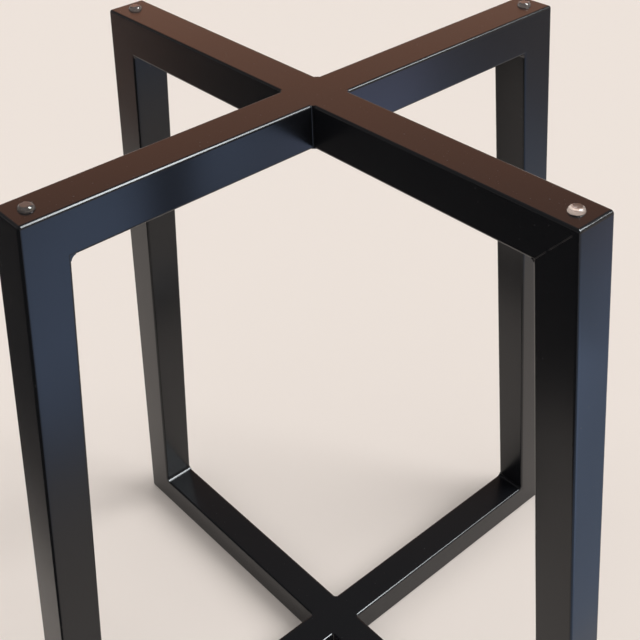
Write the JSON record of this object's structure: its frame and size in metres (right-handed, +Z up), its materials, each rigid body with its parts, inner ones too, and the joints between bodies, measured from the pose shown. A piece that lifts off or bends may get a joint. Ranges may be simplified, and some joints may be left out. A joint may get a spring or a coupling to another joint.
{
  "type": "table base",
  "caption": "Crossed table base of black square steel tube: two welded frames with legs leaning out to the floor, and clear bumpers on the top rails to carry a loose top.",
  "frame": {"origin": "on the floor, midway between the feet, where the two frames cross", "axes": "+Z up; X along the frame with whole rails, Y along the frame with cut rails"},
  "size_m": [0.7252, 0.7252, 0.7142],
  "materials": {
    "black_coat": "satin black powder coat on welded steel tube",
    "clear_bumper": "clear glossy soft polyurethane"
  },
  "bodies": {
    "root": {"back_bottom_corner_bead": "black_coat", "back_bottom_half_rail": "black_coat", "back_bottom_joint_weld": "black_coat", "back_bumper": "clear_bumper", "back_leg": "black_coat", "back_top_corner_bead": "black_coat", "back_top_half_rail": "black_coat", "back_top_joint_weld": "black_coat", "front_bottom_corner_bead": "black_coat", "front_bottom_half_rail": "black_coat", "front_bottom_joint_weld": "black_coat", "front_bumper": "clear_bumper", "front_leg": "black_coat", "front_top_corner_bead": "black_coat", "front_top_half_rail": "black_coat", "front_top_joint_weld": "black_coat", "left_bottom_corner_bead": "black_coat", "left_bumper": "clear_bumper", "left_leg": "black_coat", "left_top_corner_bead": "black_coat", "right_bottom_corner_bead": "black_coat", "right_bumper": "clear_bumper", "right_leg": "black_coat", "right_top_corner_bead": "black_coat", "through_bottom_rail": "black_coat", "through_top_rail": "black_coat"}
  },
  "joints": []
}
